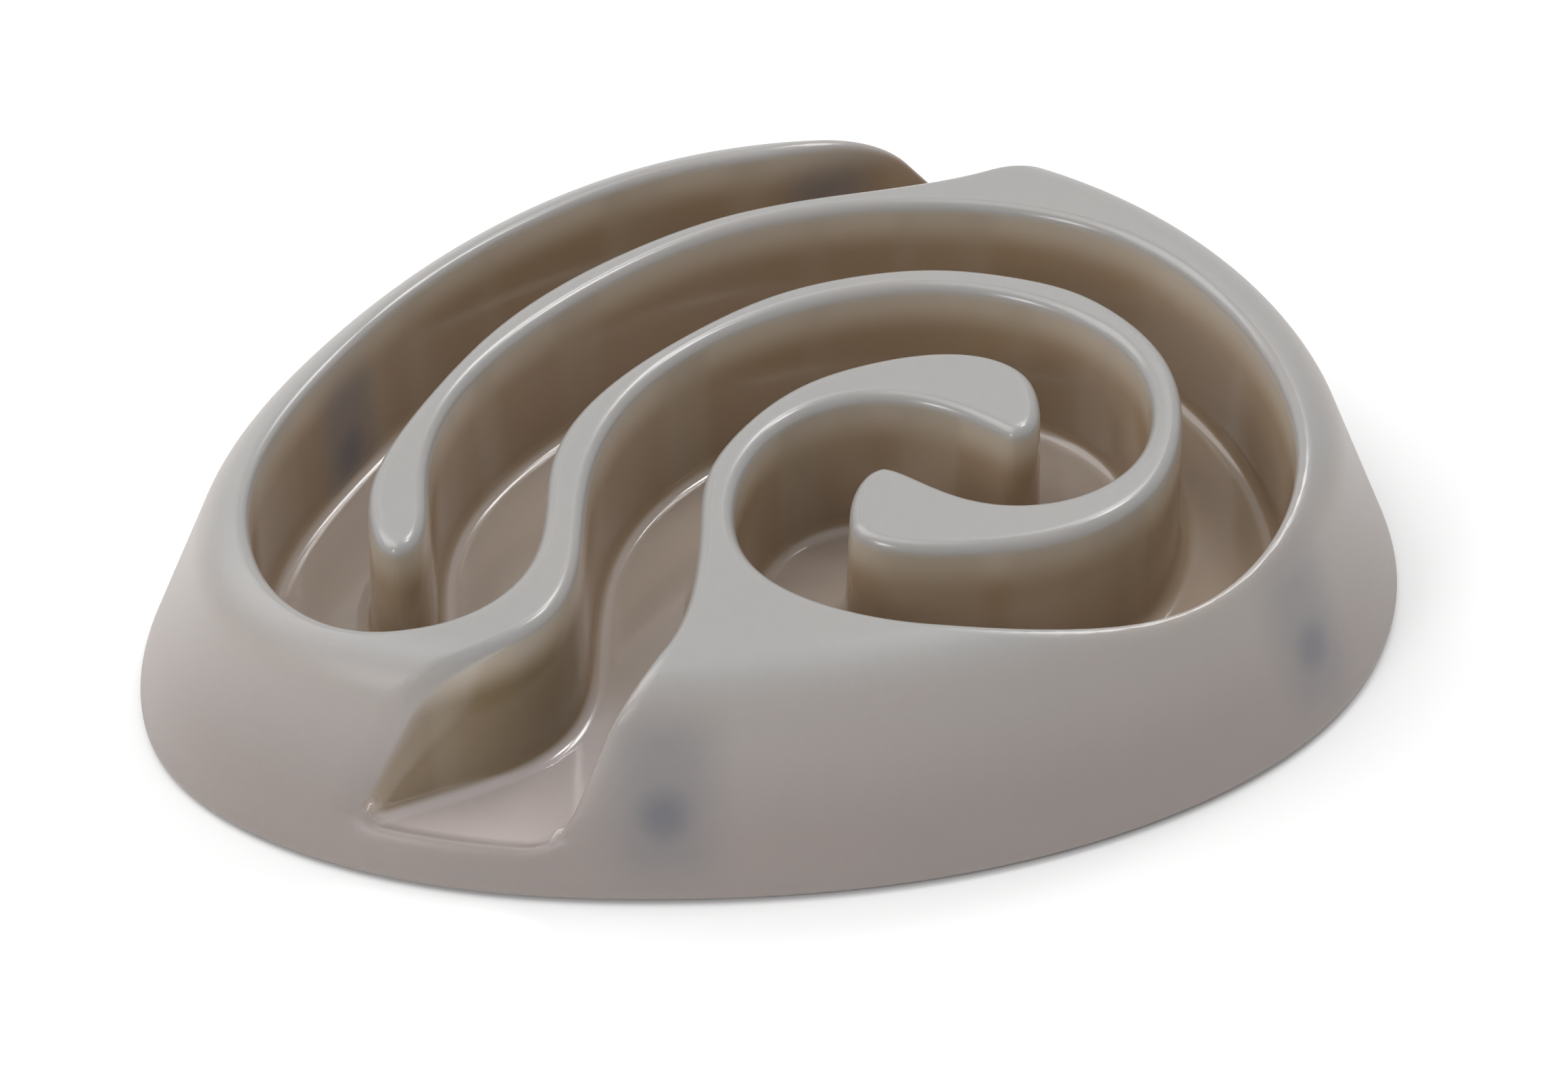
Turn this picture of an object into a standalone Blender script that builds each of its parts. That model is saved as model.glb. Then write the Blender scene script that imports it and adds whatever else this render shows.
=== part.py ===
"""Maze slow feeder for dogs.

One moulded plastic shell carries a deep groove that winds from a notch in its front to a notch in its
back. Four rubber feet are pushed up into posts moulded under the rim.
"""

import bmesh
import bpy
import numpy as np
from math import atan2, cos, pi, radians, sin, sqrt, tan
from mathutils import Vector
from mathutils.geometry import delaunay_2d_cdt

# Shell sizes, in metres
LENGTH = 0.375  # left to right along the bottom edge
DEPTH = 0.323  # front to back along the bottom edge
GROOVE_WIDTH = 0.034  # between the tops of its walls, where the drawing below says 1
EDGE_HEIGHT = 0.0015  # bottom edge of the skirt above the ground
TOP_HEIGHT = 0.062  # tops of the lands above the ground
FLOOR_HEIGHT = 0.014  # groove floor above the ground
SHELL_WALL = 0.0025
EDGE_ROUND = 0.003  # along both top edges of the groove
FLOOR_ROUND = 0.005  # along both sides of the groove floor
WALL_LEAN = 0.0013  # how far each groove wall leans out between floor and top
SKIRT_RUN = 0.0243  # bottom edge in to where the skirt would meet the top
RIM_ROUND = 0.0215  # between the skirt and the top
SKIRT_BAND = 0.002  # upright band along the bottom edge
LIP_ROUND = 0.003  # where the groove floor runs out through the skirt

# Foot and post sizes, in metres
PLUG_RADIUS = 0.006
PLUG_LENGTH = 0.018
PLUG_CHAMFER = 0.001
PAD_OVERHANG = 0.0015  # how far the pad stands out round the plug
PAD_HEIGHT = 0.0035
PAD_ROUND = 0.001
FIT_GAP = 0.0003  # between rubber and plastic
POST_WALL = 0.0037  # plastic round the bore that takes the plug
BORE_RELIEF = 0.002  # air in the bore above the plug

# Drawn seen from above, front at the bottom, then stretched to the length and depth above
BOTTOM_EDGE = [
    (-37, -156.8), (40, -149.4), (109.6, -123.7), (162.4, -80.6), (186, -29.7), (179.6, 45.4),
    (147.3, 104.4), (92.6, 149.1), (22, 166.2), (-52.7, 148.3), (-111.4, 104.4), (-156, 43.8),
    (-186, -42), (-176.3, -100), (-115.2, -145.2),
]
# Middle of the groove, with its width there as a share of GROOVE_WIDTH
GROOVE = [
    (-105, -159, 1.12), (-82, -144, 1.06), (-62, -129, 1), (-46.5, -111, 1), (-39.5, -88, 0.97),
    (-38, -65, 0.97), (-36, -36, 0.97), (-25, -8, 1.02), (-2, 18, 1), (22, 31, 1), (48, 36.5, 0.97),
    (73, 31, 0.91), (89, 17, 0.94), (95, -6, 0.97), (90, -26, 0.94), (78, -36, 0.94), (65, -37, 0.94),
    (54, -30.5, 0.97), (43, -23, 0.97), (31, -20, 0.97), (18, -25, 0.97), (8, -40, 0.97),
    (5, -58, 0.97), (8, -73, 0.93), (22, -85.5, 0.88), (50, -91.5, 0.94), (81, -88, 1),
    (107, -76, 1.06), (125, -57, 1.06), (135, -30, 1.02), (136, -4, 0.91), (130, 24, 0.82),
    (118, 47, 0.85), (100, 66, 0.94), (76, 77, 1), (50, 81, 1), (22, 78, 1.03), (-8, 67, 1.06),
    (-38, 44.5, 1.07), (-62, 18, 1.06), (-77, -8, 1.06), (-83, -35, 1.03), (-83, -62, 0.98),
    (-90, -84, 0.98), (-107, -93, 0.98), (-124, -85, 0.98), (-132.5, -66, 1), (-134, -43, 1),
    (-128, -17, 1), (-116, 11, 0.98), (-100, 40, 0.96), (-79, 66, 0.94), (-54, 88, 0.93),
    (-25, 105.5, 0.88), (5, 115.7, 0.82), (36, 125.5, 0.95), (60, 133.7, 0.95), (82, 143.3, 0.79),
    (104, 158, 0.84),
]
# Middle of each foot
FEET = {"front": (-30.5, -138), "right": (148, -70), "left": (-142, 25), "back": (17, 146)}

# How closely the faces follow the curves
CURVE_STEP = 1  # on the drawing, between points of the curves that everything is measured from
GROOVE_TURN = radians(12)  # most the groove turns between two stations
GROOVE_STEP = 0.014  # and the furthest apart they stand
OUTLINE_TURN = radians(6)
OUTLINE_STEP = 0.016
POST_SEGMENTS = 32
POST_RINGS = 3
FOOT_SEGMENTS = 40
ROUND_ANGLES = [radians(a) for a in (0, 30, 60, 90)]
RIM_PARTS = (1, 0.8, 0.6, 0.4, 0.2, 0)  # rings round the rim, as shares of its turn
ROW_SPACING = 0.0008  # least distance between points of a row, and from the bottom edge
MERGE = 0.0001

SKIRT_RISE = TOP_HEIGHT - EDGE_HEIGHT - SKIRT_BAND
SKIRT_SLOPE = SKIRT_RISE / SKIRT_RUN
SKIRT_ANGLE = atan2(SKIRT_RISE, SKIRT_RUN)
BORE_RADIUS = PLUG_RADIUS + FIT_GAP
BORE_TOP = PAD_HEIGHT + PLUG_LENGTH + BORE_RELIEF
POST_RADIUS = BORE_RADIUS + POST_WALL
POST_BOTTOM = PAD_HEIGHT + FIT_GAP
PAD_RADIUS = PLUG_RADIUS + PAD_OVERHANG


def spline_through(knots, closed):
    """Smooth curve through the drawn knots: chord lengths, knots and second derivatives."""
    p = np.array(knots, float)
    if closed:
        p = np.vstack([p, p[:1]])
    gap = np.linalg.norm(np.diff(p[:, :2], axis=0), axis=1)
    slope = np.diff(p, axis=0) / gap[:, None]
    n = len(p)
    a = np.zeros((n, n))
    b = np.zeros(p.shape)
    for i in range(1, n - 1):
        a[i, i - 1] = gap[i - 1]
        a[i, i] = 2 * (gap[i - 1] + gap[i])
        a[i, i + 1] = gap[i]
        b[i] = 6 * (slope[i] - slope[i - 1])
    a[0, 0] = 1
    a[-1, -1] = 1
    if closed:
        a[0, -1] = -1
        a[-1, :2] = (2 * gap[0], gap[0])
        a[-1, -2:] = (gap[-1], 2 * gap[-1])
        b[-1] = 6 * (slope[0] - slope[-1])
    return np.r_[0, np.cumsum(gap)], p, np.linalg.solve(a, b)


def spline_at(curve, s):
    """Point of the curve at chord length s."""
    t, p, m = curve
    i = min(max(int(np.searchsorted(t, s)) - 1, 0), len(t) - 2)
    h = t[i + 1] - t[i]
    u = (s - t[i]) / h
    v = 1 - u
    return v * p[i] + u * p[i + 1] + h * h / 6 * ((v ** 3 - v) * m[i] + (u ** 3 - u) * m[i + 1])


def fine_points(curve):
    """Closely spaced points of the whole curve."""
    length = curve[0][-1]
    count = int(length / CURVE_STEP)
    return np.array([spline_at(curve, length * i / count) for i in range(count + 1)])


def left_normals(points):
    """Unit normals pointing left of the direction of travel."""
    along = np.gradient(points[:, :2], axis=0)
    along /= np.linalg.norm(along, axis=1)[:, None]
    return np.c_[-along[:, 1], along[:, 0]]


def stations(points, turn, step):
    """Indices of the points where a coarse copy of the curve gets a corner."""
    heading = np.unwrap(np.arctan2(*np.diff(points[:, :2], axis=0).T[::-1]))
    keep = [0]
    for i in range(1, len(points) - 1):
        far = np.linalg.norm(points[i, :2] - points[keep[-1], :2])
        if far >= step or abs(heading[i] - heading[keep[-1]]) >= turn:
            keep.append(i)
    return keep + [len(points) - 1]


def distances(point, line):
    """Distance from a plan point to every stretch of a polyline, and how far along each it is nearest."""
    start = line[:-1, :2]
    along = line[1:, :2] - start
    part = ((point - start) * along).sum(1) / (along ** 2).sum(1)
    part = np.clip(part, 0, 1)
    return np.linalg.norm(start + part[:, None] * along - point, axis=1), part


def inset_of(point):
    """How far a plan point lies inside the bottom edge of the skirt."""
    away, _ = distances(point, edge_line)
    i = int(away.argmin())
    inside = edge_normals[i] @ (point - edge_line[i, :2]) > 0
    return away[i] if inside else -away[i]


def out_of_groove(point):
    """How far a plan point lies outside the groove, measured to the nearest of the walls that pass it."""
    away, part = distances(point, groove_line)
    width = groove_line[:-1, 2] + part * np.diff(groove_line[:, 2])
    passing = (away <= np.r_[away[1:], np.inf]) & (away <= np.r_[np.inf, away[:-1]])
    return (away - width / 2)[passing].min()


def skirt_height(inset, skin):
    """Height of the skirt and rim, before the groove is let in, this far inside the bottom edge.

    skin is 0 for the outer face and the wall thickness for the inner face.
    """
    flat = SKIRT_RUN + RIM_ROUND * tan(SKIRT_ANGLE / 2)
    bend = max(RIM_ROUND - skin, MERGE)
    if inset >= flat:
        return TOP_HEIGHT - skin
    if inset > flat - bend * sin(SKIRT_ANGLE):
        return TOP_HEIGHT - skin - bend + sqrt(bend ** 2 - (flat - inset) ** 2)
    slope = EDGE_HEIGHT + SKIRT_BAND + (inset - skin / sin(SKIRT_ANGLE)) * SKIRT_SLOPE
    return max(slope, EDGE_HEIGHT + MERGE)


def quarter_drop(part, radius):
    """How far a quarter round falls away at this share of its width."""
    return radius * (1 - sqrt(1 - (1 - part) ** 2))


def face_height(point, skin):
    """Height of the outer face (skin 0) or inner face (skin = wall thickness) over a plan point."""
    land = skirt_height(inset_of(point), skin)
    floor = FLOOR_HEIGHT - skin
    out = out_of_groove(point)
    depth = land - floor
    if out >= EDGE_ROUND or depth <= -LIP_ROUND:
        return land
    fade = min((EDGE_ROUND - out) / (EDGE_ROUND + WALL_LEAN), 1)
    lip = fade * max(LIP_ROUND - abs(depth), 0) ** 2 / (4 * LIP_ROUND)
    if depth <= 0:
        return land - lip
    edge_width = max(EDGE_ROUND - skin, MERGE)
    foot_width = FLOOR_ROUND + skin
    edge = min(edge_width, depth / 2)
    foot = min(foot_width, depth / 2)
    top = out - skin
    if top >= 0:
        return land - lip - quarter_drop(min(top / edge_width, 1), edge)
    if top >= -WALL_LEAN:
        return land - lip - edge + top / WALL_LEAN * (depth - edge - foot)
    return floor - lip + quarter_drop(min((-top - WALL_LEAN) / foot_width, 1), foot)


def on_plan(drawn):
    """Drawn points as plan points in metres, with the middle of the feeder at zero."""
    return (drawn - middle) * stretch


drawn_edge = fine_points(spline_through(BOTTOM_EDGE, True))
drawn_edge[-1] = drawn_edge[0]
middle = (drawn_edge.min(axis=0) + drawn_edge.max(axis=0)) / 2
stretch = np.array([LENGTH, DEPTH]) / (drawn_edge.max(axis=0) - drawn_edge.min(axis=0))
edge_line = on_plan(drawn_edge)
edge_normals = left_normals(np.vstack([edge_line[-2:-1], edge_line, edge_line[1:2]]))[1:-1]
drawn_groove = fine_points(spline_through(GROOVE, False))
groove_line = np.c_[on_plan(drawn_groove[:, :2]), drawn_groove[:, 2] * GROOVE_WIDTH]
groove_normals = left_normals(groove_line)

# Build the shell


def ring_insets(skin):
    """How far inside the bottom edge each ring of the skirt lies, the lowest first."""
    start = skin / sin(SKIRT_ANGLE)
    lip = start + (FLOOR_HEIGHT - skin - EDGE_HEIGHT - SKIRT_BAND) / SKIRT_SLOPE
    soft = LIP_ROUND / SKIRT_SLOPE
    flat = SKIRT_RUN + RIM_ROUND * tan(SKIRT_ANGLE / 2)
    bend = max(RIM_ROUND - skin, MERGE)
    turns = [flat - bend * sin(SKIRT_ANGLE * part) for part in RIM_PARTS]
    return [skin, lip - soft, lip, lip + soft] + turns


def row_places(skin):
    """How far outside the edge of the groove each row along it lies, the outermost first."""
    part_way = 1 - cos(pi / 4)
    edge_width = max(EDGE_ROUND - skin, MERGE)
    foot_width = FLOOR_ROUND + skin
    foot = skin - WALL_LEAN
    return [
        EDGE_ROUND,
        skin + edge_width * part_way,
        skin,
        foot,
        foot - foot_width * part_way,
        foot - foot_width,
    ]


def groove_row(side, out, skin):
    """Plan points of one row along the groove, without those that crowd or fold on a tight bend."""
    row = []
    for i in stations(groove_line, GROOVE_TURN, GROOVE_STEP):
        p = groove_line[i, :2] + side * (groove_line[i, 2] / 2 + out) * groove_normals[i]
        folded = out_of_groove(p) < out - MERGE
        crowded = row and np.linalg.norm(p - row[-1]) < ROW_SPACING
        if not folded and not crowded and inset_of(p) > skin + ROW_SPACING:
            row.append(p)
    return row


def sheet(bm, skin):
    """Adds one face of the moulding to the mesh and returns the verts round its bottom edge, in order."""
    points = []
    lines = []

    def draw(line):
        first = len(points)
        points.extend(Vector(p) for p in line)
        lines.extend((i, i + 1) for i in range(first, len(points) - 1))
        return first

    ring = stations(edge_line, OUTLINE_TURN, OUTLINE_STEP)[:-1]
    for inset in ring_insets(skin):
        first = draw(edge_line[ring, :2] + inset * edge_normals[ring])
        lines.append((len(points) - 1, first))
    for out in row_places(skin):
        for side in (1, -1):
            draw(groove_row(side, out, skin))
    found, _, triangles, _, _, _ = delaunay_2d_cdt(points, lines, [], 1, MERGE)
    verts = [bm.verts.new((*p, face_height(np.array(p), skin))) for p in found]
    for corners in triangles:
        bm.faces.new([verts[i] for i in corners])
    return verts[: len(ring)]


def maze_shell():
    """Outer and inner face of the moulding, joined by an upright band and a flat bottom edge."""
    bm = bmesh.new()
    outer = sheet(bm, 0)
    before = len(bm.faces)
    inner = sheet(bm, SHELL_WALL)
    bm.faces.ensure_lookup_table()
    bmesh.ops.reverse_faces(bm, faces=bm.faces[before:])
    low_outer = [bm.verts.new((v.co.x, v.co.y, EDGE_HEIGHT)) for v in outer]
    low_inner = [bm.verts.new((v.co.x, v.co.y, EDGE_HEIGHT)) for v in inner]
    for upper, lower in ((outer, low_outer), (low_outer, low_inner), (low_inner, inner)):
        for i in range(len(upper)):
            bm.faces.new((upper[i - 1], lower[i - 1], lower[i], upper[i]))
    return bm


def new_object(name, bm, collection, material=None):
    mesh = bpy.data.meshes.new(name)
    bm.normal_update()
    bm.to_mesh(mesh)
    bm.free()
    if material:
        mesh.materials.append(material)
    obj = bpy.data.objects.new(name, mesh)
    collection.objects.link(obj)
    return obj


def new_material(name, colour, roughness):
    material = bpy.data.materials.new(name)
    material.use_nodes = True
    shader = material.node_tree.nodes["Principled BSDF"]
    shader.inputs["Base Color"].default_value = (*colour, 1)
    shader.inputs["Roughness"].default_value = roughness
    return material


def new_collection(name):
    collection = bpy.data.collections.new(name)
    bpy.context.scene.collection.children.link(collection)
    return collection


def hide_tool(obj):
    obj.hide_render = True
    obj.display_type = "WIRE"


def boolean(obj, tool, operation):
    cut = obj.modifiers.new(operation.title() + " " + tool.name, "BOOLEAN")
    cut.operation = operation
    cut.solver = "EXACT"
    cut.object = tool
    hide_tool(tool)


def foot_place(at):
    """Drawn middle of a foot, moved clear where its post would come through the groove wall."""
    place = on_plan(np.array(at))
    away, _ = distances(place, groove_line)
    across = place - groove_line[away.argmin(), :2]
    short = POST_RADIUS + SHELL_WALL / 2 - out_of_groove(place)
    return place + max(short, 0) * across / np.linalg.norm(across)


def add_bar(bm, radius, bottom, top, place):
    """Upright round bar. Returns its top face."""
    disc = bmesh.ops.create_circle(bm, cap_ends=True, segments=POST_SEGMENTS, radius=radius)["verts"]
    bmesh.ops.translate(bm, verts=disc, vec=(*place, bottom))
    foot = disc[0].link_faces[0]
    raised = bmesh.ops.extrude_face_region(bm, geom=[foot], use_keep_orig=True)["geom"]
    cap = next(g for g in raised if isinstance(g, bmesh.types.BMFace))
    for v in cap.verts:
        v.co.z = top
    bmesh.ops.recalc_face_normals(bm, faces=bm.faces)
    return cap


def add_post(bm, place):
    """Post from just above the foot's pad up into the skin, its top end shaped to the skin."""
    cap = add_bar(bm, POST_RADIUS, POST_BOTTOM, TOP_HEIGHT, place)
    for _ in range(POST_RINGS):
        bmesh.ops.inset_region(bm, faces=[cap], thickness=POST_RADIUS / (POST_RINGS + 1))
    bmesh.ops.poke(bm, faces=[cap])
    for v in bm.verts:
        if v.co.z > FLOOR_HEIGHT:
            v.co.z = face_height(np.array(v.co.xy), 0) - SHELL_WALL / 2


def rubber_foot(name, place, collection, material):
    """Turned about its own axis: a rounded pad below, a plug above."""
    round_points = [(PAD_RADIUS - PAD_ROUND * (1 - sin(a)), PAD_ROUND * (1 - cos(a))) for a in ROUND_ANGLES]
    top = PAD_HEIGHT + PLUG_LENGTH
    profile = [(0, 0)] + round_points + [
        (PAD_RADIUS, PAD_HEIGHT),
        (PLUG_RADIUS, PAD_HEIGHT),
        (PLUG_RADIUS, top - PLUG_CHAMFER),
        (PLUG_RADIUS - PLUG_CHAMFER, top),
        (0, top),
    ]
    bm = bmesh.new()
    verts = [bm.verts.new((r, 0, z)) for r, z in profile]
    for a, b in zip(verts, verts[1:]):
        bm.edges.new((a, b))
    foot = new_object(name, bm, collection, material)
    foot.location = (*place, 0)
    turn = foot.modifiers.new("Turn", "SCREW")
    turn.steps = turn.render_steps = FOOT_SEGMENTS
    turn.use_merge_vertices = True
    turn.merge_threshold = MERGE / 10
    turn.use_normal_flip = True
    return foot


for old in list(bpy.data.objects):
    bpy.data.objects.remove(old)
feeder = new_collection("dog_maze_feeder")
tools = new_collection("cutting_tools")
plastic = new_material("warm grey plastic", (0.40, 0.37, 0.34), 0.35)
rubber = new_material("dark rubber", (0.05, 0.055, 0.065), 0.8)

shell = new_object("maze_shell", maze_shell(), feeder, plastic)
posts = bmesh.new()
bores = bmesh.new()
for side, at in FEET.items():
    place = foot_place(at)
    add_post(posts, place)
    add_bar(bores, BORE_RADIUS, 0, BORE_TOP, place)
    rubber_foot("rubber_foot_" + side, place, feeder, rubber)
boolean(shell, new_object("posts", posts, tools), "UNION")
boolean(shell, new_object("bores", bores, tools), "DIFFERENCE")
weld = shell.modifiers.new("Weld", "WELD")
weld.merge_threshold = MERGE
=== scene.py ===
"""Looks of a maze slow feeder for dogs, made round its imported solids."""

from math import atan2, cos, pi, radians, sin, tan

import bpy
import numpy as np
from mathutils import Matrix, Vector
from mathutils.geometry import delaunay_2d_cdt


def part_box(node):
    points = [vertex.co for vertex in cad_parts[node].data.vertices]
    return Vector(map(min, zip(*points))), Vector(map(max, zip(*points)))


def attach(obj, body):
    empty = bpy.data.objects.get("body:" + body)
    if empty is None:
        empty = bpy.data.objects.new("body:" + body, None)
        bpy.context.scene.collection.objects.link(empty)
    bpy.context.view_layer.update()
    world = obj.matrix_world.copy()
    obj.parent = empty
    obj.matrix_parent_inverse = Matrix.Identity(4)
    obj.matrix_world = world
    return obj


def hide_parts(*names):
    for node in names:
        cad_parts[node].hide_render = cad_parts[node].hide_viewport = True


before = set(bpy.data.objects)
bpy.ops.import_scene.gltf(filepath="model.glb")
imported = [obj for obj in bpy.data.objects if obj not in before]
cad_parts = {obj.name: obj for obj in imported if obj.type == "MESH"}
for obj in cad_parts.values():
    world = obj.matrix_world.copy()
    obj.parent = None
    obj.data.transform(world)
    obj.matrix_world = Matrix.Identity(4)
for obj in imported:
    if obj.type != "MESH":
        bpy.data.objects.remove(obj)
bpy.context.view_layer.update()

# Maze shell
# One injection moulding in slightly translucent warm grey plastic of even wall, hollow underneath. One deep
# groove winds from a notch in the front to a notch in the back, and posts under the rim hold the feet.

SHELL_LOW, SHELL_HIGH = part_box("maze_shell")
TOP_HEIGHT = SHELL_HIGH.z
EDGE_HEIGHT = SHELL_LOW.z
FLOOR_HEIGHT = 0.014
SHELL_WALL = 0.0025
GROOVE_WIDTH = 0.034  # where the drawing below says 1
EDGE_ROUND = 0.0042  # along both top edges of the groove
NOTCH_ROUND = 0.004  # and so much more where they run down to a notch
FLOOR_ROUND = 0.005  # along both sides of the groove floor
WALL_LEAN = 0.0013  # how far each groove wall leans out between floor and top
SKIRT_RUN = 0.0243  # bottom edge in to where the skirt would meet the top
RIM_ROUND = 0.0215  # between the skirt and the top
SKIRT_BAND = 0.002  # upright band along the bottom edge
BAND_ROUND = 0.0006  # on both sides of the bottom edge
LIP_ROUND = 0.005  # where the groove floor runs out through the skirt

# Drawn seen from above, front at the bottom, and stretched to the solid's length and depth
BOTTOM_EDGE = [
    (-37, -156.8), (40, -149.4), (109.6, -123.7), (162.4, -80.6), (186, -29.7), (179.6, 45.4),
    (147.3, 104.4), (92.6, 149.1), (22, 166.2), (-52.7, 148.3), (-111.4, 104.4), (-156, 43.8),
    (-186, -42), (-176.3, -100), (-115.2, -145.2),
]
# Middle of the groove, with its width there as a share of GROOVE_WIDTH
GROOVE = [
    (-111, -157.5, 1.20), (-85.5, -143.5, 1.10), (-62.5, -129, 1.01), (-46.5, -111, 1), (-39.5, -88, 0.97),
    (-38, -65, 0.97), (-36, -36, 0.97), (-25, -8, 1.02), (-2, 18, 1), (22, 31, 1), (48, 36.5, 0.97),
    (73, 31, 0.91), (89, 17, 0.94), (95, -6, 0.97), (90, -26, 0.94), (78, -36, 0.94), (65, -37, 0.94),
    (54, -30.5, 0.97), (43, -23, 0.97), (31, -20, 0.97), (18, -25, 0.97), (8, -40, 0.97),
    (5, -58, 0.97), (8, -73, 0.93), (22, -85.5, 0.88), (50, -91.5, 0.94), (81, -88, 1),
    (107, -76, 1.06), (125, -57, 1.06), (135, -30, 1.02), (136, -4, 0.91), (130, 24, 0.82),
    (118, 47, 0.85), (100, 66, 0.94), (76, 77, 1), (50, 81, 1), (22, 78, 1.03), (-8, 67, 1.06),
    (-38, 44.5, 1.07), (-62, 18, 1.06), (-77, -8, 1.06), (-83, -35, 1.03), (-83, -62, 0.98),
    (-90, -84, 0.98), (-107, -93, 0.98), (-124, -85, 0.98), (-132.5, -66, 1), (-134, -43, 1),
    (-128, -17, 1), (-116, 11, 0.98), (-100, 40, 0.96), (-79, 66, 0.94), (-54, 88, 0.93),
    (-25, 105.5, 0.88), (5, 115.7, 0.82), (36, 125.5, 0.95), (60, 133.7, 0.95), (82, 143.3, 0.79),
    (104, 158, 0.84),
]

PLUG_RADIUS = 0.006
FIT_GAP = 0.0003
POST_WALL = 0.0037
PAD_HEIGHT = 0.0035
BORE_RELIEF = 0.002
FOOT_SIDES = ("front", "right", "left", "back")
FOOT_BOXES = {side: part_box("rubber_foot_" + side) for side in FOOT_SIDES}
FOOT_MIDDLES = {side: (low + high) / 2 for side, (low, high) in FOOT_BOXES.items()}
PLUG_TOP = FOOT_BOXES["front"][1].z
BORE_RADIUS = PLUG_RADIUS + FIT_GAP
BORE_TOP = PLUG_TOP + BORE_RELIEF
POST_RADIUS = BORE_RADIUS + POST_WALL
POST_BOTTOM = PAD_HEIGHT + FIT_GAP
POST_DRAFT = 0.0001  # each post and bore tapers by this much on the radius

SKIRT_RISE = TOP_HEIGHT - EDGE_HEIGHT - SKIRT_BAND
SKIRT_SLOPE = SKIRT_RISE / SKIRT_RUN
SKIRT_ANGLE = atan2(SKIRT_RISE, SKIRT_RUN)
RIM_INSET = SKIRT_RUN + RIM_ROUND * tan(SKIRT_ANGLE / 2)  # bottom edge in to where the flat top starts

# How finely the two faces of the moulding are laid out
DRAWN_STEP = 0.5  # between points of the drawn lines
LOOK_STEP = 6  # every so many of them is looked at first when a distance is measured
LOOK_GROUP = 4000  # plan points measured at a time
OUTLINE_STEP = 0.003  # between points round the skirt
OUTER_STEP = 0.0015  # between points along the groove on the outer face
INNER_STEP = 0.003  # and on the inner face
OUTER_TURNS = 8  # points round each rounded edge of the outer face
INNER_TURNS = 4  # and of the inner face
BAND_TURNS = 4  # and of the bottom edge
POST_POINTS = 72  # round each post
WALL_ROWS = (0.03, 0.5, 0.97)  # rows on the groove wall, as shares of its lean
NOTCH_ROWS = (0, 0.33, 0.66, 1)  # rows beyond the edge round, as shares of NOTCH_ROUND
ROW_GAP = 0.010  # points of a row further apart than this are not joined
GUARD = 0.0004  # a row this far off each round keeps the next flat face flat
TINY = 0.00001
MERGE_WITHIN = 0.000001
INSIDE_ONLY = 1  # what delaunay_2d_cdt keeps: the triangles inside the hull
SHELL_CREASE = radians(60)


def smooth_line(knots, closed):
    """Closely spaced points of the smooth curve through the drawn knots."""
    knots = np.array(knots + knots[:1] if closed else knots, float)
    count = len(knots)
    gap = np.linalg.norm(np.diff(knots[:, :2], axis=0), axis=1)
    slope = np.diff(knots, axis=0) / gap[:, None]
    weights = np.zeros((count, count))
    change = np.zeros(knots.shape)
    for i in range(1, count - 1):
        weights[i, i - 1 : i + 2] = (gap[i - 1], 2 * (gap[i - 1] + gap[i]), gap[i])
        change[i] = 6 * (slope[i] - slope[i - 1])
    weights[0, 0] = 1
    weights[-1, -1] = 1
    if closed:
        weights[0, -1] = -1
        weights[-1, :2] = (2 * gap[0], gap[0])
        weights[-1, -2:] = (gap[-1], 2 * gap[-1])
        change[-1] = 6 * (slope[0] - slope[-1])
    bend = np.linalg.solve(weights, change)
    knot_at = np.r_[0, np.cumsum(gap)]
    travel = np.linspace(0, knot_at[-1], int(knot_at[-1] / DRAWN_STEP) + 1)
    i = np.clip(np.searchsorted(knot_at, travel) - 1, 0, count - 2)
    span = gap[i][:, None]
    after = (travel - knot_at[i])[:, None] / span
    before = 1 - after
    bow = (before ** 3 - before) * bend[i] + (after ** 3 - after) * bend[i + 1]
    return before * knots[i] + after * knots[i + 1] + span * span / 6 * bow


def left_normals(line):
    """Unit normals pointing left of the direction of travel."""
    along = np.gradient(line[:, :2], axis=0)
    along /= np.linalg.norm(along, axis=1)[:, None]
    return np.c_[-along[:, 1], along[:, 0]]


drawn_edge = smooth_line(BOTTOM_EDGE, True)
drawn_edge[-1] = drawn_edge[0]
drawn_groove = smooth_line(GROOVE, False)
drawn_low = drawn_edge.min(axis=0)
drawn_high = drawn_edge.max(axis=0)
drawn_middle = (drawn_low + drawn_high) / 2
stretch = np.array((SHELL_HIGH - SHELL_LOW).xy) / (drawn_high - drawn_low)
edge_line = (drawn_edge - drawn_middle) * stretch
edge_normals = left_normals(np.vstack([edge_line[-2:-1], edge_line, edge_line[1:2]]))[1:-1]
groove_line = (drawn_groove[:, :2] - drawn_middle) * stretch
groove_width = drawn_groove[:, 2] * GROOVE_WIDTH
groove_normals = left_normals(groove_line)

# Places round the bottom edge where every ring of the skirt gets a point
edge_length = np.linalg.norm(np.diff(edge_line, axis=0), axis=1).sum()
ring = np.linspace(0, len(edge_line) - 1, int(edge_length / OUTLINE_STEP), endpoint=False).astype(int)


def nearest_on(line, points, close):
    """Distance from each plan point to the line near its point number close, and where on the line."""
    along = np.diff(line, axis=0)
    start = (close[:, None] + np.arange(-LOOK_STEP, LOOK_STEP)) % len(along)
    part = ((points[:, None] - line[start]) * along[start]).sum(axis=2) / (along[start] ** 2).sum(axis=2)
    part = np.clip(part, 0, 1)
    away = np.linalg.norm(line[start] + part[..., None] * along[start] - points[:, None], axis=2)
    best = np.arange(len(points)), away.argmin(axis=1)
    return away[best], start[best], part[best]


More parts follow.
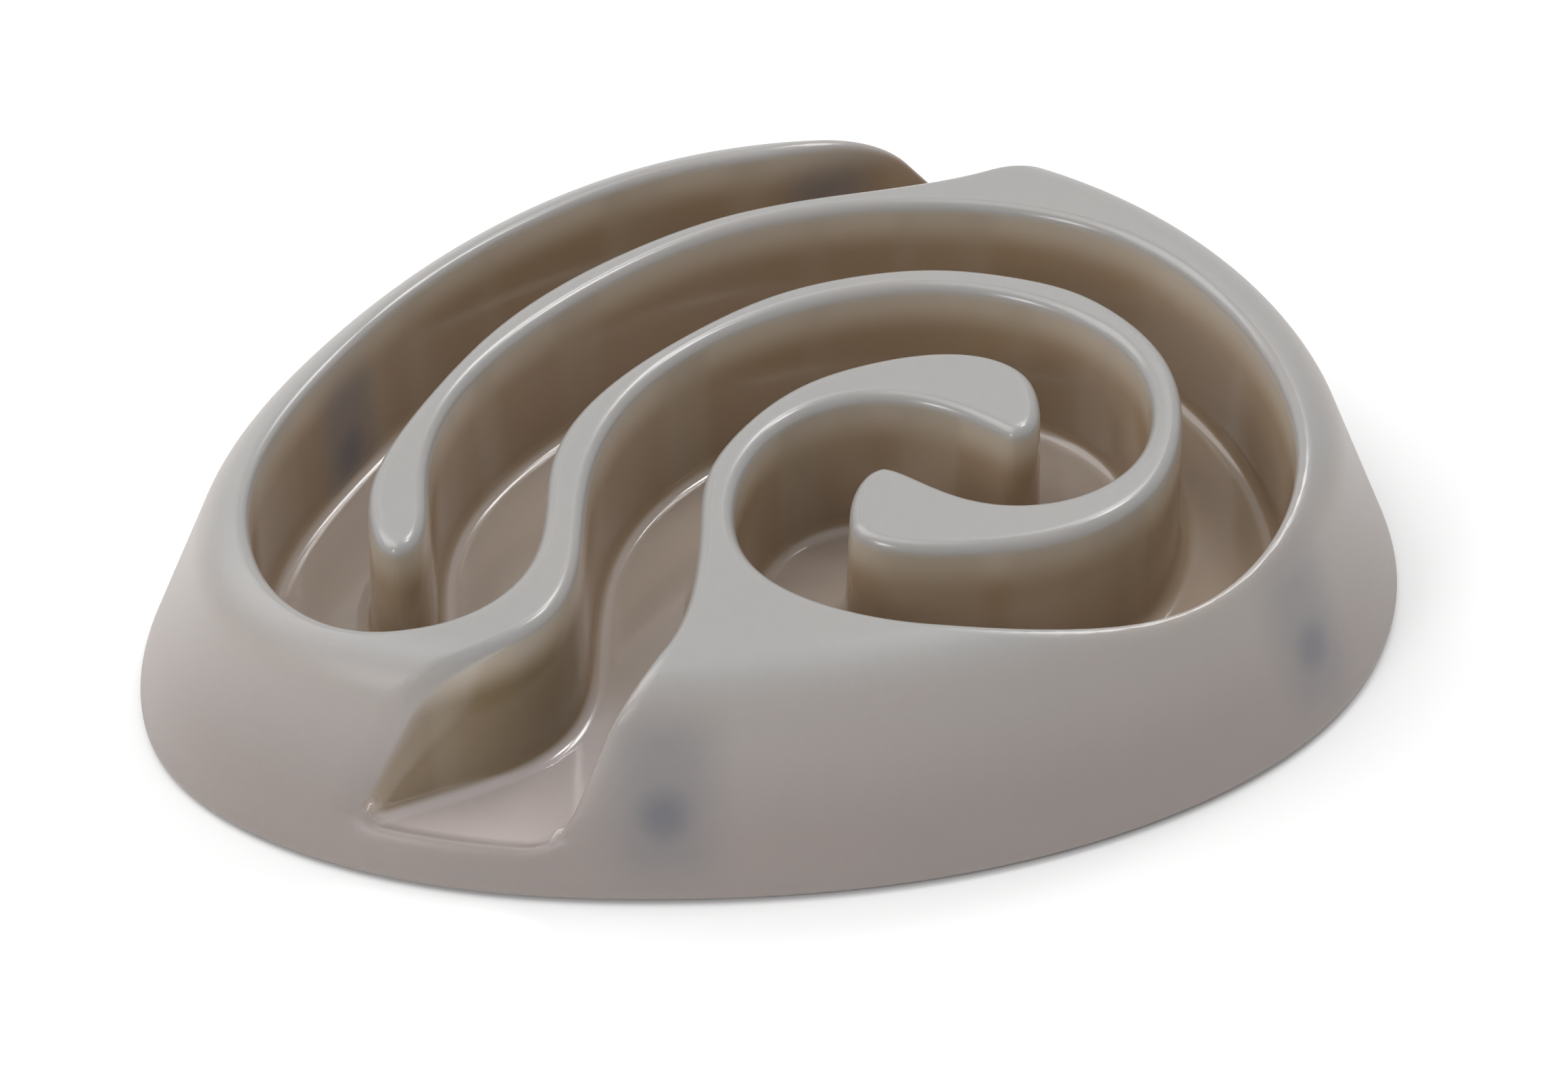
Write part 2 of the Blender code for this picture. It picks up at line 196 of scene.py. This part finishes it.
def inset_of(points):
    """How far each plan point lies inside the bottom edge of the skirt."""
    found = []
    for group in np.array_split(points, len(points) // LOOK_GROUP + 1):
        rough = np.linalg.norm(group[:, None] - edge_line[None, ::LOOK_STEP], axis=2)
        away, start, _ = nearest_on(edge_line, group, rough.argmin(axis=1) * LOOK_STEP)
        inside = (edge_normals[start] * (group - edge_line[start])).sum(axis=1) > 0
        found.append(np.where(inside, away, -away))
    return np.concatenate(found)


def out_of_groove(points):
    """How far each plan point lies outside the groove, measured to the nearest of the walls that pass it."""
    found = []
    for group in np.array_split(points, len(points) // LOOK_GROUP + 1):
        rough = np.linalg.norm(group[:, None] - groove_line[None, ::LOOK_STEP], axis=2)
        padded = np.pad(rough, ((0, 0), (1, 1)), constant_values=np.inf)
        passing = (rough <= padded[:, :-2]) & (rough <= padded[:, 2:])
        to_wall = np.where(passing, rough - groove_width[::LOOK_STEP] / 2, np.inf)
        away, start, part = nearest_on(groove_line, group, to_wall.argmin(axis=1) * LOOK_STEP)
        width = groove_width[start] + part * (groove_width[start + 1] - groove_width[start])
        found.append(away - width / 2)
    return np.concatenate(found)


def ease(share):
    """A share from 0 to 1, given a soft start and a soft end."""
    return share ** 2 * (3 - 2 * share)


def quarter_drop(part, radius):
    """How far a quarter round falls away at this share of its width."""
    return radius * (1 - np.sqrt(1 - (1 - part) ** 2))


def skirt_height(inset, skin):
    """Height of the skirt and rim before the groove is let in."""
    bend = max(RIM_ROUND - skin, TINY)
    slope = EDGE_HEIGHT + SKIRT_BAND + (inset - skin / sin(SKIRT_ANGLE)) * SKIRT_SLOPE
    slope = np.maximum(slope, EDGE_HEIGHT + BAND_ROUND)
    short = np.clip(RIM_INSET - inset, 0, bend)
    turned_in = TOP_HEIGHT - skin - bend + np.sqrt(bend ** 2 - short ** 2)
    return np.where(inset > RIM_INSET - bend * sin(SKIRT_ANGLE), turned_in, slope)


def face_height(points, skin):
    """Height of the outer face (skin 0) or the inner face (skin = wall thickness) over plan points."""
    inset = inset_of(points)
    land = skirt_height(inset, skin)
    out = out_of_groove(points)
    floor = FLOOR_HEIGHT - skin
    depth = land - floor
    edge_round = EDGE_ROUND + NOTCH_ROUND * ease(np.clip(1 - inset / RIM_INSET, 0, 1))
    edge_width = np.maximum(edge_round - skin, TINY)
    foot_width = FLOOR_ROUND + skin
    edge = np.clip(depth / 2, 0, edge_width)
    foot = np.clip(depth / 2, 0, foot_width)
    top = out - skin
    on_edge = land - quarter_drop(np.clip(top / edge_width, 0, 1), edge)
    on_wall = land - edge + top / WALL_LEAN * (depth - edge - foot)
    on_foot = floor + quarter_drop(np.clip((-top - WALL_LEAN) / foot_width, 0, 1), foot)
    stepped = np.select([top >= 0, top >= -WALL_LEAN], [on_edge, on_wall], on_foot)

    # Towards the lip the steep wall gives way to one flowing bend
    rise = (top + WALL_LEAN + foot_width) / (edge_width + WALL_LEAN + foot_width)
    rise = ease(np.clip(rise, 0, 1))
    flowing = floor + depth * rise
    height = stepped + ease(np.clip(2 - depth / LIP_ROUND, 0, 1)) * (flowing - stepped)
    lip = (1 - rise) * np.maximum(LIP_ROUND - np.abs(depth), 0) ** 2 / (4 * LIP_ROUND)
    return np.where((out >= edge_round) | (depth <= 0), land, height) - lip


def post_height(points, height):
    """Lowers the inner face to the ends of the posts and lets the bores in."""
    for middle in FOOT_MIDDLES.values():
        away = np.linalg.norm(points - np.array(middle.xy), axis=1)
        height = np.where(away < POST_RADIUS + POST_DRAFT / 2, POST_BOTTOM, height)
        height = np.where(away < BORE_RADIUS - POST_DRAFT / 2, BORE_TOP, height)
    return height


def ring_insets(skin, turns):
    """How far inside the bottom edge each ring of the skirt lies, the lowest first."""
    start = skin / sin(SKIRT_ANGLE)
    lip = start + (FLOOR_HEIGHT - skin - EDGE_HEIGHT - SKIRT_BAND) / SKIRT_SLOPE
    soft = LIP_ROUND / SKIRT_SLOPE
    bend = max(RIM_ROUND - skin, TINY)
    lip_rings = [lip + soft * part for part in np.linspace(-1, 1, turns)]
    rim_rings = [RIM_INSET - bend * sin(SKIRT_ANGLE * part) for part in np.linspace(1, 0, 2 * turns)]
    return [skin] + lip_rings + [rim_rings[0] - GUARD] + rim_rings + [RIM_INSET + GUARD]


def row_places(skin, turns):
    """How far outside the top edge of the groove wall each row along the groove lies."""
    swing = 1 - np.cos(np.linspace(0, pi / 2, turns))
    foot = skin - WALL_LEAN
    foot_width = FLOOR_ROUND + skin
    beyond = EDGE_ROUND + GUARD + NOTCH_ROUND * np.array(NOTCH_ROWS)
    on_edge = skin + max(EDGE_ROUND - skin, TINY) * swing
    on_wall = skin - WALL_LEAN * np.array(WALL_ROWS)
    on_foot = foot - foot_width * swing
    return [*beyond, *on_edge, *on_wall, *on_foot, foot - foot_width - GUARD]


def wall_stations(side, skin, step):
    """Places along the groove where its rows on one side get a point, none of them on a folded stretch."""
    off = groove_width / 2 + skin
    wall = groove_line + side * off[:, None] * groove_normals
    clean = out_of_groove(wall) > skin - TINY
    keep = []
    for i in np.flatnonzero(clean):
        if not keep or np.linalg.norm(wall[i] - wall[keep[-1]]) >= step:
            keep.append(i)
    return np.array(keep)


def face_sheet(skin, step, turns):
    """Points and triangles of one face of the moulding. The points round its bottom edge come first."""
    points = []
    lines = []

    def draw(row, closed=False):
        first = len(points)
        points.extend(Vector(p) for p in row)
        for i in range(first, len(points) - 1):
            if (points[i + 1] - points[i]).length < ROW_GAP:
                lines.append((i, i + 1))
        if closed:
            lines.append((len(points) - 1, first))

    for inset in ring_insets(skin, turns):
        draw(edge_line[ring] + inset * edge_normals[ring], closed=True)
    for side in (1, -1):
        at = wall_stations(side, skin, step)
        for out in row_places(skin, turns):
            off = groove_width[at] / 2 + out
            row = groove_line[at] + side * off[:, None] * groove_normals[at]
            good = (out_of_groove(row) > out - TINY) & (inset_of(row) > skin + GUARD)
            draw(row[good])
    if skin:
        turn = np.linspace(0, 2 * pi, POST_POINTS, endpoint=False)
        for middle in FOOT_MIDDLES.values():
            for radius in (BORE_RADIUS - POST_DRAFT, BORE_RADIUS, POST_RADIUS, POST_RADIUS + POST_DRAFT):
                draw(np.array(middle.xy) + radius * np.c_[np.cos(turn), np.sin(turn)], closed=True)
    found, _, triangles, _, _, _ = delaunay_2d_cdt(points, lines, [], INSIDE_ONLY, MERGE_WITHIN)
    plan = np.array(found)
    height = face_height(plan, skin)
    if skin:
        height = post_height(plan, height)
    return np.c_[plan, height], triangles


def mesh_object(name, points, faces, crease):
    """New smooth-shaded object, creased where its faces meet at more than this angle."""
    mesh = bpy.data.meshes.new(name)
    mesh.from_pydata([tuple(p) for p in points], [], faces)
    mesh.validate()
    mesh.shade_smooth()
    mesh.set_sharp_from_angle(angle=crease)
    obj = bpy.data.objects.new(name, mesh)
    bpy.context.scene.collection.objects.link(obj)
    return obj


# The outer and inner face, joined by rings round the bottom edge
outer_points, outer_faces = face_sheet(0, OUTER_STEP, OUTER_TURNS)
inner_points, inner_faces = face_sheet(SHELL_WALL, INNER_STEP, INNER_TURNS)
band_turn = np.linspace(0, pi / 2, BAND_TURNS)
band_outside = [(BAND_ROUND * (1 - cos(a)), EDGE_HEIGHT + BAND_ROUND * (1 - sin(a))) for a in band_turn]
band_inside = [(SHELL_WALL - inset, height) for inset, height in band_outside[::-1]]
sheets = [outer_points, inner_points]
band_rings = [np.arange(len(ring))]
for inset, height in band_outside + band_inside:
    first = sum(len(sheet) for sheet in sheets)
    band_plan = edge_line[ring] + inset * edge_normals[ring]
    sheets.append(np.c_[band_plan, np.full(len(ring), height)])
    band_rings.append(np.arange(first, first + len(ring)))
band_rings.append(np.arange(len(ring)) + len(outer_points))
shell_points = np.vstack(sheets)
shell_faces = [tuple(face) for face in outer_faces]
shell_faces += [tuple(i + len(outer_points) for i in face[::-1]) for face in inner_faces]
for upper, lower in zip(band_rings, band_rings[1:]):
    corners = np.roll(upper, 1), np.roll(lower, 1), lower, upper
    shell_faces += list(zip(*(corner.tolist() for corner in corners)))
shell = mesh_object("shell", shell_points, shell_faces, SHELL_CREASE)

# What the plastic goes by: how far each point lies outside the groove wall, and how deep the groove is there
point_outside = out_of_groove(shell_points[:, :2])
point_outside[len(outer_points):] = GROOVE_WIDTH
point_sunk = skirt_height(inset_of(shell_points[:, :2]), 0) - FLOOR_HEIGHT
shell.data.attributes.new("outside", "FLOAT", "POINT").data.foreach_set("value", point_outside)
shell.data.attributes.new("sunk", "FLOAT", "POINT").data.foreach_set("value", point_sunk)

# The plastic is satin with a fine moulded grain on the tops and the skirt, and polished in the groove. Light
# goes a few millimetres into it. The groove wall carries painted light and shade, lighter along its top and
# darker brown lower down, with painted reflections. The posts and plugs behind the skin are painted on as
# soft bluish shadows.
LAND_COLOUR = (0.302, 0.296, 0.288, 1)
SKIRT_COLOUR = (0.334, 0.303, 0.283, 1)
SKIRT_LOW_COLOUR = (0.272, 0.234, 0.217, 1)
# Painted light and shade on the groove wall: lighter along its top, darker brown lower down
WALL_TOP_LIGHT_COLOUR = (0.53, 0.46, 0.365, 1)
WALL_SHADE_COLOUR = (0.300, 0.216, 0.138, 1)
# Painted reflections on the groove wall, in upright patches
WALL_REFLECTION_COLOUR = (0.36, 0.30, 0.225, 1)
# Painted shade: the groove wall is darker round the front notch
NOTCH_WALL_SHADE_COLOUR = (0.210, 0.154, 0.090, 1)
GROOVE_FLOOR_COLOUR = (0.420, 0.352, 0.300, 1)
NOTCH_FLOOR_COLOUR = (0.462, 0.408, 0.394, 1)
RIGHT_FLOOR_COLOUR = (0.330, 0.245, 0.165, 1)
# Painted shadows of the posts and plugs behind the skin
POST_SHADOW_COLOUR = (0.145, 0.150, 0.168, 1)
PLUG_SHADOW_COLOUR = (0.079, 0.087, 0.118, 1)
MOTTLE_COLOUR = (0.36, 0.30, 0.28, 1)

# Each fade is where a shade or finish starts and where it is full
SKIRT_FADE = (TOP_HEIGHT - 0.001, 0.052)  # height
SKIRT_LOW_FADE = (0.052, 0.014)  # height
# Where the painted light along the top of the groove wall gives way to painted shade
WALL_TOP_LIGHT_FADE = (TOP_HEIGHT - 0.003, TOP_HEIGHT - 0.018)  # height
FLOOR_FADE = (FLOOR_HEIGHT + 0.003, FLOOR_HEIGHT + 0.001)  # height
RIM_FADE = (0.046, 0.028)  # depth of the groove, down from the rim
GROOVE_FADE = (0.0050, 0.0125)  # depth of the groove, in from the lip
LOW_WALL_FADE = (0.018, 0.009)  # depth of the groove, where the wall of the front notch turns pale
WALL_EDGE_FADE = (0.0004, -0.0003)  # outside the groove wall
POLISH_FADE = (0.0042, 0.0026)  # outside the groove wall
POLISH_DRAWN_IN = 0.0025  # and so much further in below the rim
EDGE_GLOSS_FADE = (-0.0008, 0.0004)  # outside the groove wall
# The groove wall round here gets painted shade
FRONT_NOTCH = (-0.075, -0.125, 0)
NOTCH_FADE = (0.055, 0.028)  # distance from FRONT_NOTCH
RIGHT_FLOOR_FADE = (0.085, 0.125)  # to the right of the middle

POST_SHOWS_FADE = (0.034, 0.023)  # distance from the middle of a post
POST_FADE = (0.0225, 0.0035)  # sideways of it along the skirt
POST_END_FADE = (0.0085, 0.0020)  # distance on the skin from where its upper end shows
POST_TOP_FADE = (0.061, 0.042)  # height
POST_LOW_FADE = (0.001, 0.016)  # height
POST_END_SHOWS_AT = 0.044  # height on the skin where the upper end of a post shows
POST_STRENGTH = 0.9
PLUG_SHOWS_AT = 0.025  # height on the skin where the plug shows darkest
PLUG_FADE = (0.0105, 0.0012)  # distance on the skin from there
SKIRT_SHOWS = 0.54  # how plainly they show through the skirt
WALL_SHOWS = 0.7  # and through the groove wall

IN_PLAN = (1, 1, 0)  # takes the height out of a distance
# Painted reflections on the groove wall
REFLECTION_UPRIGHT = (1, 1, 0.06)  # draws the patches of the wall out upwards
REFLECTION_SCALE = 30.0
REFLECTION_LEVELS = (0.52, 0.64)
REFLECTION_STRENGTH = 0.45
MOTTLE_SCALE = 22.0
MOTTLE_LEVELS = (0.3, 0.7)
MOTTLE_STRENGTH = 0.10
GRAIN_SCALE = 2600.0
GRAIN_HEIGHT = 0.0001
GRAIN_STRENGTH = 0.45
SMEAR_SCALE = 55.0
SATIN_ROUGHNESS = 0.36
GLOSS_ROUGHNESS = 0.08
EDGE_ROUGHNESS = 0.22
ROUGHNESS_RANGE = 0.10
LIGHT_DEPTH = 0.004  # how far light goes into the plastic


class Finish:
    """Short way to add linked nodes to one material."""

    def __init__(self, material):
        material.use_nodes = True
        self.tree = material.node_tree
        self.shader = self.tree.nodes["Principled BSDF"]

    def put(self, socket, value):
        """Links an output to a socket, or sets the socket's own value."""
        if isinstance(value, bpy.types.NodeSocket):
            self.tree.links.new(value, socket)
        else:
            socket.default_value = value

    def shade(self, values):
        """Gives the shader these values and outputs, by the names of its sockets."""
        for name, value in values.items():
            self.put(self.shader.inputs[name], value)

    def add(self, kind, inputs=(), **settings):
        """New node with these settings; inputs holds (socket, value or output) pairs."""
        made = self.tree.nodes.new(kind)
        for key, value in settings.items():
            setattr(made, key, value)
        for key, value in inputs:
            self.put(made.inputs[key], value)
        return made

    def attribute(self, name):
        """Number that each point of the mesh carries under this name."""
        return self.add("ShaderNodeAttribute", attribute_name=name).outputs["Fac"]

    def math(self, operation, a, b=0.0):
        """Result of one sum on numbers."""
        return self.add("ShaderNodeMath", [(0, a), (1, b)], operation=operation).outputs[0]

    def vector(self, operation, a, b=(0, 0, 0)):
        """Result of one sum on vectors, a number for a length or a dot product."""
        made = self.add("ShaderNodeVectorMath", [(0, a), (1, b)], operation=operation)
        return made.outputs["Value" if operation in ("LENGTH", "DOT_PRODUCT") else "Vector"]

    def span(self, a, b):
        """Straight distance from two distances square to each other."""
        return self.math("SQRT", self.math("ADD", self.math("POWER", a, 2.0), self.math("POWER", b, 2.0)))

    def ramp(self, value, low, high, start=0.0, end=1.0):
        """Smooth step of a value from one level to another, clamped."""
        made = self.add(
            "ShaderNodeMapRange",
            [("Value", value), ("From Min", low), ("From Max", high), ("To Min", start), ("To Max", end)],
            interpolation_type="SMOOTHSTEP",
        )
        return made.outputs["Result"]

    def mix(self, share, a, b):
        """Colour a, with this share of colour b."""
        return self.add("ShaderNodeMix", [(0, share), (6, a), (7, b)], data_type="RGBA").outputs[2]

    def between(self, share, a, b):
        """Number a, with this share of number b."""
        return self.add("ShaderNodeMix", [(0, share), (2, a), (3, b)], data_type="FLOAT").outputs[0]

    def noise(self, place, scale, detail):
        """Cloudy pattern of this fineness."""
        made = self.add("ShaderNodeTexNoise", [("Vector", place), ("Scale", scale), ("Detail", detail)])
        return made.outputs["Fac"]

    def bump(self, strength, height, pattern):
        """Normals roughened by a pattern."""
        made = self.add("ShaderNodeBump", [("Strength", strength), ("Distance", height), ("Height", pattern)])
        return made.outputs["Normal"]


plastic = bpy.data.materials.new("warm grey plastic")
finish = Finish(plastic)
place = finish.add("ShaderNodeTexCoord").outputs["Object"]
parted = finish.add("ShaderNodeSeparateXYZ", [(0, place)])
rightward, level = parted.outputs["X"], parted.outputs["Z"]
outside = finish.attribute("outside")
sunk = finish.attribute("sunk")
in_groove = finish.ramp(sunk, *GROOVE_FADE)
at_floor = finish.ramp(level, *FLOOR_FADE)
on_wall = finish.math("MULTIPLY", finish.ramp(outside, *WALL_EDGE_FADE), in_groove)
from_notch = finish.vector("MULTIPLY", finish.vector("SUBTRACT", place, FRONT_NOTCH), IN_PLAN)
at_notch = finish.ramp(finish.vector("LENGTH", from_notch), *NOTCH_FADE)

# Colours of the skirt and the groove floor, and painted light and shade on the groove wall: lighter along
# its top, darker brown lower down and round the front notch, with painted reflections
skirt_colour = finish.mix(finish.ramp(level, *SKIRT_FADE), LAND_COLOUR, SKIRT_COLOUR)
skirt_colour = finish.mix(finish.ramp(level, *SKIRT_LOW_FADE), skirt_colour, SKIRT_LOW_COLOUR)
wall_light_and_shade = finish.mix(at_notch, WALL_SHADE_COLOUR, NOTCH_WALL_SHADE_COLOUR)
wall_light_and_shade = finish.mix(finish.ramp(level, *WALL_TOP_LIGHT_FADE), WALL_TOP_LIGHT_COLOUR, wall_light_and_shade)
painted_reflections = finish.noise(finish.vector("MULTIPLY", place, REFLECTION_UPRIGHT), REFLECTION_SCALE, detail=1.0)
painted_reflections = finish.ramp(painted_reflections, *REFLECTION_LEVELS, 0.0, REFLECTION_STRENGTH)
wall_light_and_shade = finish.mix(painted_reflections, wall_light_and_shade, WALL_REFLECTION_COLOUR)
low_at_notch = finish.math("MULTIPLY", finish.ramp(sunk, *LOW_WALL_FADE), at_notch)
wall_light_and_shade = finish.mix(low_at_notch, wall_light_and_shade, NOTCH_FLOOR_COLOUR)
floor_colour = finish.mix(at_notch, GROOVE_FLOOR_COLOUR, NOTCH_FLOOR_COLOUR)
floor_colour = finish.mix(finish.ramp(rightward, *RIGHT_FLOOR_FADE), floor_colour, RIGHT_FLOOR_COLOUR)
groove_colour = finish.mix(at_floor, wall_light_and_shade, floor_colour)
shell_colour = finish.mix(on_wall, skirt_colour, groove_colour)

# Painted shadows of the posts and of the plugs in them, showing through the skin
post_shadows = 0.0
plug_shadows = 0.0
above_end = finish.math("SUBTRACT", level, POST_END_SHOWS_AT)
above_plug = finish.math("SUBTRACT", level, PLUG_SHOWS_AT)
for middle in FOOT_MIDDLES.values():
    beside = np.linalg.norm(edge_line - np.array(middle.xy), axis=1).argmin()
    along_skirt = (edge_normals[beside][1], -edge_normals[beside][0], 0)
    from_post = finish.vector("SUBTRACT", place, (middle.x, middle.y, 0))
    sideways = finish.math("ABSOLUTE", finish.vector("DOT_PRODUCT", from_post, along_skirt))
    away = finish.vector("LENGTH", finish.vector("MULTIPLY", from_post, IN_PLAN))
    shows = finish.ramp(away, *POST_SHOWS_FADE)
    post_side = finish.ramp(sideways, *POST_FADE, 0.0, POST_STRENGTH)
    post_end = finish.ramp(finish.span(sideways, above_end), *POST_END_FADE)
    post_shadow = finish.math("MULTIPLY", shows, finish.math("MAXIMUM", post_side, post_end))
    plug_shadow = finish.math("MULTIPLY", shows, finish.ramp(finish.span(sideways, above_plug), *PLUG_FADE))
    post_shadows = finish.math("MAXIMUM", post_shadows, post_shadow)
    plug_shadows = finish.math("MAXIMUM", plug_shadows, plug_shadow)
post_shadows = finish.math("MULTIPLY", post_shadows, finish.ramp(level, *POST_TOP_FADE))
post_shadows = finish.math("MULTIPLY", post_shadows, finish.ramp(level, *POST_LOW_FADE))
off_floor = finish.ramp(finish.math("MULTIPLY", on_wall, at_floor), 1.0, 0.0)
plainly = finish.math("MULTIPLY", finish.ramp(on_wall, 0.0, 1.0, SKIRT_SHOWS, WALL_SHOWS), off_floor)
shell_colour = finish.mix(finish.math("MULTIPLY", post_shadows, plainly), shell_colour, POST_SHADOW_COLOUR)
shell_colour = finish.mix(finish.math("MULTIPLY", plug_shadows, plainly), shell_colour, PLUG_SHADOW_COLOUR)
mottle = finish.ramp(finish.noise(place, MOTTLE_SCALE, detail=3.0), *MOTTLE_LEVELS)
shell_colour = finish.mix(finish.math("MULTIPLY", mottle, MOTTLE_STRENGTH), shell_colour, MOTTLE_COLOUR)

# Satin and polish
below_rim = finish.ramp(sunk, *RIM_FADE)
from_polish = finish.math("ADD", outside, finish.math("MULTIPLY", below_rim, POLISH_DRAWN_IN))
polished = finish.math("MULTIPLY", finish.ramp(from_polish, *POLISH_FADE), in_groove)
grain = finish.noise(place, GRAIN_SCALE, detail=2.0)
smear = finish.noise(place, SMEAR_SCALE, detail=4.0)
satin = finish.math("ADD", finish.math("MULTIPLY", grain, ROUGHNESS_RANGE), SATIN_ROUGHNESS)
gloss = finish.math("ADD", finish.math("MULTIPLY", smear, ROUGHNESS_RANGE), GLOSS_ROUGHNESS)
gloss = finish.between(finish.ramp(outside, *EDGE_GLOSS_FADE), gloss, EDGE_ROUGHNESS)
finish.shade({
    "Base Color": shell_colour,
    "Roughness": finish.between(polished, satin, gloss),
    "Normal": finish.bump(finish.ramp(polished, 1.0, 0.0, 0.0, GRAIN_STRENGTH), GRAIN_HEIGHT, grain),
    "Subsurface Weight": 0.6,
    "Subsurface Radius": (1.0, 0.9, 0.8),
    "Subsurface Scale": LIGHT_DEPTH,
    "IOR": 1.49,
    "Specular IOR Level": 0.75,
})

shell.data.materials.append(plastic)
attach(shell, "root")
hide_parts("maze_shell")

# Rubber feet
# Four turned plugs of dark soft rubber, each pushed up into the bore of a post until its wider pad meets the
# post. Only the pads reach below the skirt, and the feeder stands on them.

PAD_ROUND = 0.001
PAD_TURNS = 6  # points round the edge of a pad
PLUG_CHAMFER = 0.001
FOOT_POINTS = 96
FOOT_CREASE = radians(35)
RUBBER_COLOUR = (0.030, 0.033, 0.040, 1)
DUST_COLOUR = (0.062, 0.064, 0.070, 1)
DUST_SCALE = 380.0
DUST_LEVELS = (0.35, 0.75)
RUBBER_ROUGHNESS = (0.68, 0.88)  # clean and dusty
RUBBER_GRAIN_SCALE = 2400.0
RUBBER_GRAIN_STRENGTH = 0.35


def turned(profile, count):
    """Points and faces of a (radius, height) profile turned about its axis, on which it starts and ends."""
    turn = np.linspace(0, 2 * pi, count, endpoint=False)
    body = profile[1:-1]
    points = [(0, 0, profile[0][1])]
    for radius, height in body:
        points += [(radius * cos(a), radius * sin(a), height) for a in turn]
    points.append((0, 0, profile[-1][1]))
    last = 1 + (len(body) - 1) * count
    faces = []
    for i in range(count):
        j = (i + 1) % count
        faces.append((0, 1 + j, 1 + i))
        for low in range(1, last, count):
            faces.append((low + i, low + j, low + count + j, low + count + i))
        faces.append((last + i, last + j, len(points) - 1))
    return np.array(points), faces


rubber = bpy.data.materials.new("dark rubber")
finish = Finish(rubber)
place = finish.add("ShaderNodeTexCoord").outputs["Object"]
dust = finish.ramp(finish.noise(place, DUST_SCALE, detail=4.0), *DUST_LEVELS)
rubber_grain = finish.noise(place, RUBBER_GRAIN_SCALE, detail=3.0)
finish.shade({
    "Base Color": finish.mix(dust, RUBBER_COLOUR, DUST_COLOUR),
    "Roughness": finish.ramp(dust, 0.0, 1.0, *RUBBER_ROUGHNESS),
    "Normal": finish.bump(RUBBER_GRAIN_STRENGTH, GRAIN_HEIGHT, rubber_grain),
})

pad_turn = np.linspace(0, pi / 2, PAD_TURNS)
for side, (low, high) in FOOT_BOXES.items():
    pad_radius = (high.x - low.x) / 2
    pad_edge = [(pad_radius - PAD_ROUND * (1 - sin(a)), PAD_ROUND * (1 - cos(a))) for a in pad_turn]
    plug_side = [(PLUG_RADIUS, PAD_HEIGHT), (PLUG_RADIUS, PLUG_TOP - PLUG_CHAMFER)]
    plug_end = [(PLUG_RADIUS - PLUG_CHAMFER, PLUG_TOP), (0, PLUG_TOP)]
    profile = [(0, 0)] + pad_edge + [(pad_radius, PAD_HEIGHT)] + plug_side + plug_end
    foot_points, foot_faces = turned(profile, FOOT_POINTS)
    foot = mesh_object("foot_" + side, foot_points, foot_faces, FOOT_CREASE)
    foot.location = (FOOT_MIDDLES[side].x, FOOT_MIDDLES[side].y, 0)
    foot.data.materials.append(rubber)
    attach(foot, "root")
    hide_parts("rubber_foot_" + side)

# Floor
# A plain pale sheet of matt paper, laid flat under the feeder. It is wide enough to fill every view.

SHEET_HALF = 6.0
SHEET_COLOUR = (0.88, 0.88, 0.88, 1)
SHEET_ROUGHNESS = 0.9
SHEET_CREASE = radians(30)
sheet_corners = [(x * SHEET_HALF, y * SHEET_HALF, 0) for x, y in ((-1, -1), (1, -1), (1, 1), (-1, 1))]
floor = mesh_object("floor", sheet_corners, [(0, 1, 2, 3)], SHEET_CREASE)
paper = bpy.data.materials.new("pale floor")
Finish(paper).shade({"Base Color": SHEET_COLOUR, "Roughness": SHEET_ROUGHNESS})
floor.data.materials.append(paper)

# Light
# Five soft boxes in an even white room: above, on the left, two small ones behind on the right, and one in
# front on the left. The left one and the small ones draw the bright lines along the rounded edges.

ROOM_COLOUR = (1, 1, 1, 1)
ROOM_STRENGTH = 0.70
world = bpy.data.worlds.new("white room")
bpy.context.scene.world = world
world.use_nodes = True
world.node_tree.nodes["Background"].inputs["Color"].default_value = ROOM_COLOUR
world.node_tree.nodes["Background"].inputs["Strength"].default_value = ROOM_STRENGTH


def soft_box(name, at, along, size, watts):
    """Rectangular lamp that faces the feeder, its first side in this direction."""
    lamp = bpy.data.lights.new(name, "AREA")
    lamp.shape = "RECTANGLE"
    lamp.size, lamp.size_y = size
    lamp.energy = watts
    back = Vector(at).normalized()
    across = back.cross(Vector(along)).normalized()
    obj = bpy.data.objects.new(name, lamp)
    obj.matrix_world = Matrix((across.cross(back), across, back)).transposed().to_4x4()
    obj.location = at
    bpy.context.scene.collection.objects.link(obj)


soft_box("soft box above", (-0.30, 0.00, 1.60), (1, 0, 0), (0.9, 0.9), 3.5)
soft_box("soft box left", (-0.95, 0.30, 1.12), (0, 1, 0), (1.3, 0.95), 8.5)
soft_box("soft box back", (0.46, 0.80, 1.18), (1, 0, 0), (0.36, 0.26), 3.2)
soft_box("soft box right", (0.70, 0.44, 1.24), (0, 1, 0), (0.24, 0.18), 2.6)
soft_box("soft box front", (-0.95, -1.12, 0.95), (1, 0, 0), (0.45, 0.35), 4.6)

# Camera
# Stands where the photograph was taken from: in front of the feeder, looking down at it through a long lens.
# Colours are shown as they are, without a film look.

VIEW_DROP = radians(38.5)
VIEW_DISTANCE = 1.248
VIEW_AIM = Vector((0.0018, -0.0767, 0.0620))
IMAGE_WIDTH = 2319
FOCAL_PIXELS = 6500
SENSOR_WIDTH = 36
camera = bpy.data.cameras.new("camera")
camera.sensor_width = SENSOR_WIDTH
camera.lens = SENSOR_WIDTH * FOCAL_PIXELS / IMAGE_WIDTH
viewer = bpy.data.objects.new("camera", camera)
viewer.location = VIEW_AIM + VIEW_DISTANCE * Vector((0, -cos(VIEW_DROP), sin(VIEW_DROP)))
viewer.rotation_euler = (pi / 2 - VIEW_DROP, 0, 0)
bpy.context.scene.collection.objects.link(viewer)
bpy.context.scene.camera = viewer
bpy.context.scene.view_settings.view_transform = "Standard"
